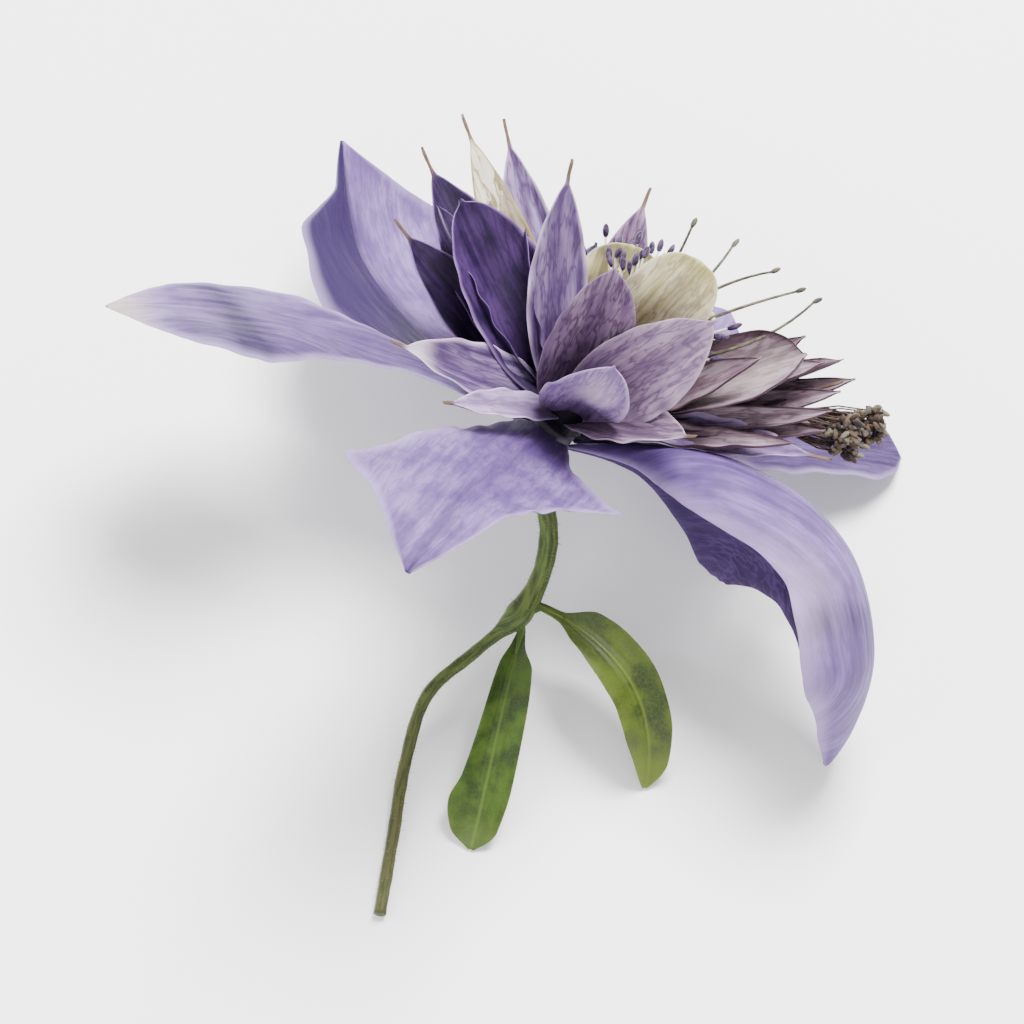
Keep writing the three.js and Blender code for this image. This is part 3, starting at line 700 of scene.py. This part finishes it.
LEAVES = {
    "leaf_arched": dict(
        root=(-2.6, -28.7, -8.2), tip=(13.6, -57.5, -10.5), arch=(11, 12), sway=-4, turn=(0, 10),
        curl=(0.4, 0.4), crease=0.15,
        edges=({0: 0.7, 0.08: 0.9, 0.2: 3.8, 0.45: 4.4, 0.7: 4, 0.88: 3, 1: 0.4},
               {0: 0.7, 0.08: 0.9, 0.2: 3, 0.45: 4.9, 0.7: 4.6, 0.88: 2.6, 1: 0.4}),
        cream=lambda share, side: 0.2 * smooth(-0.1, 0.9, side) + 0.15 * smooth(0.7, 1, share)),
    "leaf_hanging": dict(
        root=(-5.6, -32.8, -8.8), tip=(-13.4, -67, -6.5), arch=(2, 3), sway=1, turn=(10, 30),
        curl=(0.6, 0.6), crease=0.2,
        edges=({0: 0.7, 0.06: 1.2, 0.16: 3.2, 0.4: 4.2, 0.7: 4.6, 0.88: 3.8, 1: 0.4},
               {0: 0.7, 0.06: 1.2, 0.16: 2.4, 0.45: 3.2, 0.66: 4, 0.78: 5.2, 0.9: 4, 1: 0.4})),
}


def make_leaves():
    paints = {
        "leaf_arched": leaf_paint("leaf_bright", "#1f2b03", "#3b4b0a", "#56651c", "#5f6c1a", "#43521d"),
        "leaf_hanging": leaf_paint("leaf_deep", "#1f3106", "#3a5210", "#526824", "#4f6024", "#45582a"),
    }
    foot = seen(*LEAF_NODE)
    for number, (name, leaf) in enumerate(LEAVES.items()):
        batch = Batch()
        spec = {**leaf, "root": seen(*leaf["root"]), "tip": seen(*leaf["tip"]), "facing": LEAF_FACING}
        centre = midrib({**BLADE, **spec}, np.linspace(0, 0.1, 6))[0]
        petiole = [foot, foot + (centre[0] - foot) * 0.6, *centre]
        add_tube(batch, petiole, np.linspace(0.85, 0.35, len(petiole)), sides=14, ridges=0.06, share=0.1)
        add_blade(batch, rows=90, columns=36, **spec, thickness=LEAF_THICKNESS, ribs=0.22, flutes=0.04,
                  crumple=0.18, frill=0.12, seed=40 + number)
        batch.piece(name + "_skin", paints[name], "leaf", name)


# ---- Outer petals ----

# `step` is how far down the flower's axis a petal begins.
OUTER_PETALS = {
    "petal_left": dict(
        tip=(-69.6, 17.6, 3), arch=(1, 6), sway=6, turn=(8, 14), curl=(-0.2, 0.2), ruffle=0.3, step=1.2,
        frill=0.12,
        edges=({0: 3.5, 0.25: 4.5, 0.4: 6, 0.5: 11, 0.65: 18.5, 0.78: 18, 0.9: 11, 1: 0.4},
               {0: 4, 0.25: 4.5, 0.45: 8, 0.65: 12.5, 0.8: 11, 0.9: 7, 1: 0.4}),
        cream=lambda share, side: 0.8 * smooth(0.87, 0.99, share),
        # dark: a band across near 0.7 of the length, and the blade darker short of its tip, with painted
        # shade deepest on one half
        dark=lambda share, side: (0.6 * bell(share - 0.05 * side, 0.715, 0.045)
                                  + (0.55 + 0.3 * smooth(0, -1, side)) * smooth(0.97, 0.8, share))),
    "petal_upper_left": dict(
        tip=(-33.9, 44.8, -31), arch=(-5, -18), curl=(-0.5, 0.5), crease=0.05, ruffle=0.4, step=2.9,
        frill=0.12,
        edges=({0: 4, 0.2: 9, 0.4: 15, 0.6: 14, 0.7: 12.5, 0.8: 10.5, 0.85: 6, 0.9: 2, 1: 0.4},
               {0: 4, 0.2: 10, 0.45: 18, 0.64: 22, 0.8: 20, 0.92: 10.5, 1: 0.4}),
        # dark: painted shade over the half turned from the light, and a darker line by the midrib
        dark=lambda share, side: 1.3 * smooth(0.04, -0.04, side) + 0.5 * bell(side, 0.06, 0.05)),
    "petal_front": dict(
        tip=(-22.5, -23, 50), arch=(3, 8), turn=(0, 15), curl=(0.4, -0.3), ruffle=0.6, phase=1.2, step=1.2,
        edges=({0: 4, 0.12: 6.5, 0.22: 10.5, 0.3: 16, 0.34: 18.5, 0.4: 13.5, 0.5: 9, 0.65: 6, 0.85: 3,
                1: 0.4},
               {0: 4, 0.2: 8, 0.4: 13, 0.6: 18, 0.68: 21, 0.8: 13, 0.9: 7, 1: 0.4}),
        dark=lambda share, side: 0.3 + 0.3 * bell(side, 0.1, 0.08) + 0.4 * smooth(0.85, 1, share)),
    "petal_right_drooping": dict(
        tip=(41.8, -54, -12), arch=(31, 33), turn=(-58, -50), curl=(-0.85, -2.15), ruffle=0.4, step=2.4,
        frill=0.1, crumple=0.2,
        edges=({0: 0.6, 0.1: 4, 0.2: 13, 0.28: 19, 0.38: 20.5, 0.48: 20, 0.58: 18, 0.68: 14, 0.85: 8,
                1: 0.4},
               {0: 0.6, 0.1: 7, 0.2: 17, 0.28: 21, 0.4: 22.5, 0.5: 24, 0.6: 26.5, 0.75: 27, 0.9: 15,
                1: 0.4}),
        dark=lambda share, side: 0.4 + 0.6 * bell(share + 0.1 * side, 0.72, 0.04),
        # cream here is a painted highlight, where the near edge catches the light
        cream=lambda share, side: 0.25 * bell(share, 0.56, 0.12) * bell(side, 0.85, 0.2)),
    "petal_right": dict(
        tip=(53.7, -3.6, -35), arch=(2, 3), curl=(-0.2, -0.1), ruffle=0.5, phase=2, step=1.2, dark=0.95,
        edges=({0: 3, 0.3: 7, 0.6: 9, 0.85: 7, 0.96: 5, 1: 4},
               {0: 2.5, 0.3: 6, 0.6: 8.5, 0.85: 8.5, 0.95: 6.5, 1: 3})),
    "petal_back_right": dict(
        tip=(28, 15, -51), width=23, arch=(4, 3), turn=(12, 0), curl=(-0.2, -0.2), ruffle=0.6, phase=3,
        step=2.9, belly=0.66),
    "petal_back": dict(
        tip=(0.5, 28.5, -57), width=24, arch=(4, 3), turn=(12, 0), curl=(-0.2, -0.2), ruffle=0.6, phase=4,
        step=1.4, belly=0.66),
}


def make_outer_petals():
    lavender = petal_paint("lavender", streaks=0.3, bar_strength=0.4, shade=0.45, clouds=0.6)
    drooping = petal_paint("drooping", bar_strength=0.3, shade=0.45, clouds=0.6)
    for number, (name, petal) in enumerate(OUTER_PETALS.items()):
        batch = Batch()
        spec = dict(point=0.85, ribs=0.25, thickness=PETAL_THICKNESS) | petal
        tip, step = spec.pop("tip"), spec.pop("step")
        add_blade(batch, rows=110, columns=60, **spec, **rooted(seen(*tip), -step, CLAW_REACH),
                  seed=number + 1)
        # the drooping petal gets the darker copy, whose back is a painted shade
        paint = drooping if name == "petal_right_drooping" else lavender
        batch.piece(name + "_skin", paint, "outer_petal", name)


# ---- Inner petaloids ----

SUNK = 1.2  # how far inside the column a petaloid begins
PETALOID_SHAPE = dict(curl=(0.45, 0.45), crease=0.2, belly=0.5, point=0.9, awl=0.1, root_width=3,
                      tip_width=0.5)
PETALOID_LOOKS = dict(
    violet=dict(veins=0.45, bar_strength=0.55, margin=0.7, margin_from=0.88, shade=0.85),
    lilac=dict(veins=0.6, margin=0.6, shade=0.75),
    pinkish=dict(veins=0.6, bar_strength=0.35, shade=0.75),
    brown=dict(veins=0.6, shade=0.55),
    silver=dict(veins=0.6, bar_strength=0.3, margin=0.95, margin_from=0.7),
    paper=dict(veins=0.8, margin=0.8, margin_from=0.75, shade=0.3, alpha=0.5),
)

# Where the faces of the shown ones look: right, up, near.
SIDEWAYS = (0.45, -0.1, 1)
TOWARDS = (0.15, -0.1, 1)
OVER = (0.3, 0.5, 0.8)
BLUNT = dict(point=0.55, awl=0.02)

# `height` is where on the flower's axis a petaloid begins.
SHOWN_PETALOIDS = [
    dict(kind="violet", tip=(-21, 42.5, -4), facing=SIDEWAYS, width=13, arch=(-2, -4), height=2.5, dark=0.2),
    dict(kind="violet", tip=(-25, 31, 5), facing=SIDEWAYS, width=10, arch=(-3, -4), height=2, dark=0.6),
    dict(kind="lilac", tip=(-25.5, 12, 18), facing=OVER, width=10, arch=(0, -1), height=2, dark=0.85,
         cream=lambda share, side: 0.8 * smooth(0.7, 0.85, share)),
    dict(kind="lilac", tip=(-17.5, 2.5, 24), facing=OVER, width=5, height=2, cream=0.15),
    dict(kind="paper", tip=(-14.8, 48, -12), facing=TOWARDS, width=7.5, arch=(-4, -2), height=4),
    dict(kind="lilac", tip=(-8.3, 47.4, -14), facing=TOWARDS, width=9, arch=(-5, -4), height=5,
         dark=lambda share, side: 0.5 + 0.4 * smooth(0.3, 1, side)),
    dict(kind="violet", tip=(-15, 34, 8), facing=SIDEWAYS, width=15, arch=(-2, -2), height=3.6, **BLUNT),
    dict(kind="lilac", tip=(2.2, 39.8, 15), facing=TOWARDS, width=9, sway=-2, height=3.2, dark=0.6),
    dict(kind="brown", tip=(14.5, 36.3, -6), facing=TOWARDS, width=8.5, arch=(-4, -2), height=6),
    dict(kind="brown", tip=(8.5, 23, 26), facing=TOWARDS, width=13, arch=(-1, 1), height=3.6, **BLUNT),
    dict(kind="lilac", tip=(8.5, 8, 27), facing=TOWARDS, width=12.5, arch=(0, 2), height=2.4, point=0.6,
         awl=0.03, crease=0.05, curl=(0.2, 0.2),
         cream=lambda share, side: 0.6 * bell(share, 0.6, 0.25) * bell(side, 0.1, 0.5)),
    dict(kind="pinkish", tip=(24, 15, 28), facing=TOWARDS, width=14, arch=(-1, -2), height=3, point=0.75,
         awl=0.04),
    dict(kind="pinkish", tip=(21, -2.5, 22), facing=OVER, width=10, arch=(-1, -1), height=1.8, dark=0.75),
    dict(kind="lilac", tip=(42, -6, 10), facing=OVER, width=7, arch=(1, 1), height=1.8, dark=0.2),
    dict(kind="silver", tip=(38, 10, 15), facing=(-0.1, 0.35, 1), width=14, arch=(-2, -5), height=3.4,
         belly=0.72, crease=0, curl=(0.9, 1.3), cream=lambda share, side: 0.3 * bell(side, 0, 0.5), **BLUNT),
    dict(kind="silver", tip=(44, 6, 3), facing=OVER, width=9, arch=(-3, -4), height=3.2, curl=(1.2, 1.2)),
    dict(kind="silver", tip=(45.5, 0.5, -7), facing=OVER, width=8, arch=(-2, -4), height=2.2,
         curl=(1.2, 1.2)),
]

# Ends and widths of the curled petaloids that lie over each other at the right.
CURLED_PETALOIDS = [((41, 9, 8), 8), ((43.5, 4.5, 6), 7), ((42, 1.5, 11), 6), ((41, -1.5, 10), 6),
                    ((36, -3.5, 15), 6), ((31, 9.5, 15), 7), ((44, 9.5, 5), 8), ((46, 6.5, 1), 7),
                    ((38, 13, 8), 7)]

# Rows at the back of the column, each fanned out between two azimuths.
HIDDEN_ROWS = [
    dict(count=7, azimuth=(28, 165), opening=72, length=38, width=12, height=2, arch=(-2, -1)),
    dict(count=5, azimuth=(72, 160), opening=57, length=28, width=11, height=4.5, arch=(-3, -2)),
    dict(count=3, azimuth=(60, 128), opening=48, length=23, width=10, height=7.5, arch=(-3, -1)),
]


def petaloid_specs():
    """The blades of all the inner petaloids: those that show, the curled ones and the rows at the back."""
    for spec in SHOWN_PETALOIDS:
        yield {**spec, "tip": seen(*spec["tip"]), "facing": direction(*spec["facing"])}
    for number, (tip, width) in enumerate(CURLED_PETALOIDS):
        yield dict(kind="silver", tip=seen(*tip), facing=direction(*OVER), width=width, height=3,
                   arch=(-2 - 0.3 * number, -3), curl=(1.7, 1.1 + 0.5 * chance(number + 0.5)), crease=0,
                   turn=(0, 35 * chance(number)), point=0.7, awl=0.03)
    for rank, row in enumerate(HIDDEN_ROWS):
        for index in range(row["count"]):
            seed = 10 * rank + index + 1
            tip = sprung(row["height"],
                         lerp(row["azimuth"], (index + 0.5) / row["count"]) + 4 * chance(seed),
                         row["opening"] + 4 * chance(seed + 0.3),
                         row["length"] * (1 + 0.07 * chance(seed + 0.6)))
            yield dict(kind="violet", tip=tip, width=row["width"], height=row["height"], arch=row["arch"],
                       turn=(0, 12 * chance(seed + 0.9)), dark=0.3 + 0.3 * chance(seed + 0.2), awl=0.02)


def make_inner_petaloids():
    paints = {kind: petal_paint(kind, **look) for kind, look in PETALOID_LOOKS.items()}
    batches = {kind: Batch() for kind in paints}
    for number, spec in enumerate(petaloid_specs()):
        spec = PETALOID_SHAPE | spec
        kind, tip, height = (spec.pop(part) for part in ("kind", "tip", "height"))
        add_blade(batches[kind], rows=48, columns=20, **spec,
                  **rooted(tip, height, COLUMN_TOP_RADIUS - SUNK), seed=60 + number)
    profile = [(0.4, COLUMN_FROM), (4, COLUMN_FROM + 0.1), (4.05, 3), (3.8, 6), (3.4, 9), (2.6, COLUMN_TO),
               (0.4, COLUMN_TO + 0.1)]
    # the column is painted near black, a painted shade among the crowded bases
    add_turned(batches["violet"], profile, bumps=0.04, dark=0.9)
    for kind, batch in batches.items():
        batch.piece("inner_petaloids_" + kind, paints[kind], "inner_petaloid", "inner_petaloids")


# Middles, reaches and counts of the two clumps of withered stamens at the right.
SPENT_CLUMPS = [((44, -2.6, 8), 3.6, 90), ((47.6, -0.8, 4), 3.4, 80)]


def make_spent_stamens():
    batch = Batch()
    for clump, (place, reach, count) in enumerate(SPENT_CLUMPS):
        middle = seen(*place)
        for number in range(count):
            seed = 300 + 100 * clump + number
            offset = chances(seed, 0, 0.3, 0.6)
            heading = unit(chances(seed, 0.1, 0.4, 0.7))
            spot = middle + unit(offset) * reach * abs(chance(seed + 0.9)) ** 0.5
            add_grain(batch, spot, heading, 1.0 + 0.3 * chance(seed), 0.42,
                      cream=0.14 * max(0, chance(seed + 0.8)))
            if number % 3 == 0:  # each third grain keeps its thread
                foot = middle - direction(9, -2, 5) + offset
                add_tube(batch, [foot, (foot + spot) / 2 + offset * 0.8, spot], 0.14, sides=5)
    paint = plain_paint("spent_brown", "#170e14", "#443428", scale=0.6, roughness=0.8, sheen=0.03, bump=0.8)
    batch.piece("stamens_spent", paint, "stamen", "stamens")


# ---- Cream petaloids, stamens and styles ----

CREAM = dict(count=6, azimuth=(-15, 145), opening=28, length=18, width=9, arch=(-2, -1), height=11.3,
             reach=2.3)
# The two broad ones that show.
BROAD_CREAM = [dict(tip=(21.5, 24, 25), arch=(2, 1), curl=(0.1, 0.1)),
               dict(tip=(11.5, 27, 8), arch=(-1, -2), curl=(0.3, 0.3))]
BROAD_WIDTH = 13
CREAM_SHAPE = dict(belly=0.64, point=0.42, root_width=2, ruffle=0.5, ribs=0.15, flutes=0.07, crumple=0.45,
                   frill=0.25)
# The stamens on the viewer's side are held in by the petaloids in front of them.
STAMENS = dict(count=64, opening=(8, 42), length=(14, 19), height=12.6, reach=2, held_in=0.9)
STYLES = dict(count=30, opening=(0, 16), length=(9, 13), height=14.6, reach=0.9)
STYLE_HAIRS = 12
FILAMENT_BOW = 0.06  # how far a filament bows, as a share of its length


def make_cream_petaloids():
    batch = Batch()
    for index in range(CREAM["count"]):
        seed = 50 + index
        tip = sprung(CREAM["height"], lerp(CREAM["azimuth"], index / (CREAM["count"] - 1)),
                     CREAM["opening"] + 6 * chance(seed), CREAM["length"] * (1 + 0.14 * chance(seed + 0.5)))
        add_blade(batch, rows=48, columns=24, **rooted(tip, CREAM["height"], CREAM["reach"]), **CREAM_SHAPE,
                  width=CREAM["width"], arch=CREAM["arch"], curl=(0.35, 0.3 + 0.3 * chance(seed + 0.2)),
                  phase=seed, turn=(0, 25 * chance(seed + 0.8)), seed=seed,
                  cream=lambda share, side: 0.8 * smooth(0.45, 0.0, share),
                  dark=0.2 + 0.2 * chance(seed + 0.4))
    for number, broad in enumerate(BROAD_CREAM):
        spec = {**CREAM_SHAPE, **broad, **rooted(seen(*broad["tip"]), CREAM["height"], CREAM["reach"])}
        add_blade(batch, rows=60, columns=36, **spec, facing=direction(*TOWARDS), width=BROAD_WIDTH,
                  phase=number, seed=90 + number,
                  cream=lambda share, side: 0.7 * smooth(0.5, 0.1, share) + 0.5 * smooth(0.85, 1, share))
    add_turned(batch, [(0.4, 10.3), (3, 10.4), (3.1, 11.4), (2.7, 12.1), (0.4, 12.2)], cream=0.8)
    paint = petal_paint("cream", veins=0.6, bar_strength=0.15, shade=0.3, sheen_tint="#fff8e6",
                        subsurface=0.1)
    batch.piece("cream_petaloids_skin", paint, "cream_petaloid", "cream_petaloids")


def tuft_lines(group, seed_from):
    """The centre lines of a tuft of filaments that open from the axis."""
    for index in range(group["count"]):
        seed = seed_from + index
        azimuth = 137.5 * index + 10 * chance(seed)
        spread = ((index + 0.5) / group["count"]) ** 0.5
        held_in = 1 - group.get("held_in", 0) * max(0, spoke(azimuth) @ direction(0, 0, 1))
        opening = math.radians(held_in * lerp(group["opening"], spread) + 2 * chance(seed + 0.4))
        length = lerp(group["length"], 0.5 + 0.5 * chance(seed + 0.7))
        foot = on_axis(group["height"]) + spoke(azimuth) * group["reach"] * spread
        end = foot + AXIS * length * math.cos(opening) + spoke(azimuth) * length * math.sin(opening)
        middle = (foot + end) / 2 - spoke(azimuth) * FILAMENT_BOW * length
        yield seed, bowed(foot, middle, end, 8)


def make_stamens():
    filaments, anthers = Batch(), Batch()
    for seed, line in tuft_lines(STAMENS, 80):
        share = np.linspace(0, 1, len(line))
        add_tube(filaments, line, 0.26 - 0.08 * share, sides=6, cream=0.75 - 0.4 * share)
        heading = unit(unit(line[-1] - line[-2]) + 0.35 * chances(seed, 0, 1, 2))
        add_grain(anthers, line[-1] + heading * 0.8, heading, 1.15 + 0.2 * chance(seed + 3), 0.48)
    add_turned(filaments, [(0.3, 12.5), (2.2, 12.6), (2.3, 13.4), (1.8, 13.95), (0.3, 14)], cream=0.5)
    lilac = plain_paint("filament_lilac", "#8d7f8f", "#b3a8ac")
    filaments.piece("stamen_filaments", lilac, "stamen", "stamens")
    purple = plain_paint("anther_purple", "#21132b", "#523c60", scale=1.6, roughness=0.7, sheen=0.2)
    anthers.piece("stamen_anthers", purple, "stamen", "stamens")


# Where the long styles that stand out of the bloom end.
LONG_STYLES = [(20.7, 30, 8), (33, 22.8, 9), (36.8, 19.8, 10), (39.3, 18.2, 11), (27, 27, 6)]


def make_styles():
    batch, long_ones = Batch(), Batch()
    for seed, line in tuft_lines(STYLES, 140):
        share = np.linspace(0, 1, len(line))
        add_tube(batch, line, 0.3 - 0.2 * share, sides=6, cream=0.3 * share)
        for number in range(STYLE_HAIRS):
            place = line[1 + number % (len(line) - 2)]
            around = 2.4 * number + seed
            heading = unit(AXIS + 0.8 * (ACROSS * math.cos(around) + BEHIND * math.sin(around)))
            add_hair(batch, place, heading, 1.7, 0.06, cream=0.5)
    add_turned(batch, [(0.2, 14.3), (1.3, 14.4), (1.4, 15), (1.1, 15.5), (0.2, 15.6)], cream=0.2)
    for number, place in enumerate(LONG_STYLES):
        foot, end = on_axis(13), seen(*place)
        out = unit(end - foot)
        bent = unit(out + 0.6 * chances(number, 0, 5, 9))
        line = bowed(foot, end - 0.45 * np.linalg.norm(end - foot) * bent, end, 14)
        add_tube(long_ones, line, np.linspace(0.36, 0.2, len(line)), sides=8)
        add_grain(long_ones, end + out * 0.4, unit(out + 0.4 * bent), 0.9, 0.42, ridges=0.05)
    green = plain_paint("style_green", "#6d6c20", "#9c963c", sheen=0.2)
    batch.piece("styles_skin", green, "style", "styles")
    grey = plain_paint("style_grey", "#34302a", "#5b5644")
    long_ones.piece("styles_long", grey, "style", "styles")


# ---- Stage ----

VIEW_WIDTH = 158  # millimetres across the picture at the crown
VIEW_DISTANCE = 1200
VIEW_CENTRE = seen(-7, -14, 0)
SENSOR = 36.0
FLOOR_HALF = 3  # metres

LIGHTS = {
    # place in the viewer's directions, width in metres and power in watts
    "key": ((200, 750, 600), 0.45, 42.0),
    "fill": ((-700, 150, 500), 0.9, 7.0),
    "front": ((150, -500, 700), 0.9, 7.0),
}


def aimed(name, data, place, target):
    """A lamp or a camera at a place that looks at its target."""
    made = linked(name, data)
    made.location = Vector(place * MM)
    made.rotation_euler = Vector((target - place) * MM).to_track_quat("-Z", "Y").to_euler()
    return made


def make_stage():
    mesh = bpy.data.meshes.new("floor")
    corners = [(x * FLOOR_HALF, y * FLOOR_HALF, 0) for x, y in ((-1, -1), (1, -1), (1, 1), (-1, 1))]
    mesh.from_pydata(corners, [], [(0, 1, 2, 3)])
    paint = Paint("floor_paper", roughness=0.85)
    cloud = paint.noise(paint.place(), 0.004)
    mesh.materials.append(paint.done(paint.mix(cloud, "#fafafa", "#fdfdfd")))
    floor = linked("floor", mesh)

    world = bpy.data.worlds.new("studio")
    world.use_nodes = True
    background = world.node_tree.nodes["Background"]
    background.inputs["Color"].default_value = (1, 1, 1, 1)
    background.inputs["Strength"].default_value = 0.6
    bpy.context.scene.world = world
    for name, (place, width, power) in LIGHTS.items():
        light = bpy.data.lights.new(name, "AREA")
        light.size = width
        light.energy = power
        aimed(name, light, seen(*place), on_axis(10))


def make_camera():
    data = bpy.data.cameras.new("camera")
    data.lens = SENSOR * VIEW_DISTANCE / VIEW_WIDTH
    data.sensor_width = SENSOR
    place = VIEW_CENTRE + direction(0, 0, VIEW_DISTANCE)
    bpy.context.scene.camera = aimed("camera", data, place, VIEW_CENTRE)


make_camera()
make_stage()
make_stalk()
make_leaves()
make_outer_petals()
make_inner_petaloids()
make_spent_stamens()
make_cream_petaloids()
make_stamens()
make_styles()
